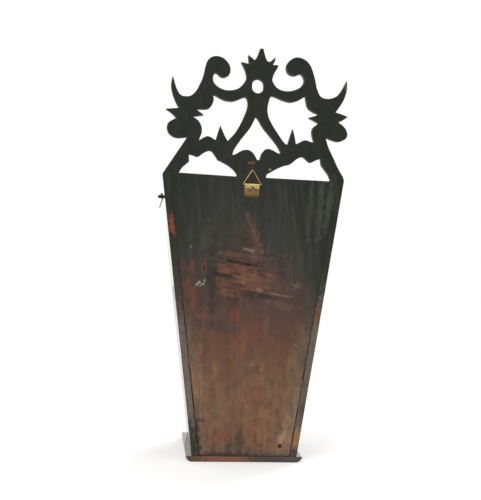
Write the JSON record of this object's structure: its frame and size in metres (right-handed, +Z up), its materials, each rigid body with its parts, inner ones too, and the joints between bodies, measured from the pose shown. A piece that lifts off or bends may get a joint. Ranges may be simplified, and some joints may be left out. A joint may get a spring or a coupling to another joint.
{
  "type": "hanging cutlery box",
  "caption": "Tall tapered wooden cutlery box with a pierced fretwork crest, a sloping lid on pins, a divider inside and a wire hanger on its back.",
  "frame": {"origin": "middle of the underside of the base, on the table", "axes": "+Z up along the back board, -Y out of the front board, +Y out of the back board that carries the crest and the hanger"},
  "size_m": [0.2263, 0.1352, 0.498],
  "materials": {
    "dark_mahogany": "old waxed surface, dark and worn",
    "plain_pine": "bare sawn softwood",
    "dark_iron": "dull dark iron",
    "yellow_brass": "thin sheet, tarnished",
    "brass_wire": "drawn wire, dull",
    "steel_screw": "domed head, lightly tarnished"
  },
  "bodies": {
    "carcase": {"back_board": "dark_mahogany", "left_side": "dark_mahogany", "right_side": "dark_mahogany", "front_board": "dark_mahogany", "base_board": "dark_mahogany", "divider": "dark_mahogany", "left_corner_block": "plain_pine", "right_corner_block": "plain_pine", "hanger_plate": "yellow_brass", "hanger_screw": "steel_screw", "left_side_nails": "dark_iron", "right_side_nails": "dark_iron", "front_nails": "dark_iron", "back_nails": "dark_iron", "base_nails": "dark_iron"},
    "lid": {"lid_board": "dark_mahogany", "left_lid_pin": "dark_iron", "right_lid_pin": "dark_iron", "pin_keeper": "dark_iron"},
    "bail": {"hanger_bail": "brass_wire"}
  },
  "joints": [
    {"name": "lid_hinge", "type": "hinge", "parent": "carcase", "child": "lid", "pos_m": [0, 0.0455, 0.316], "axis": [-1, 0, 0], "range_deg": [0, 120]},
    {"name": "bail_swing", "type": "hinge", "parent": "carcase", "child": "bail", "pos_m": [0.0024, 0.06586, 0.3335], "axis": [-1, 0, 0], "range_deg": [0, 175]}
  ]
}
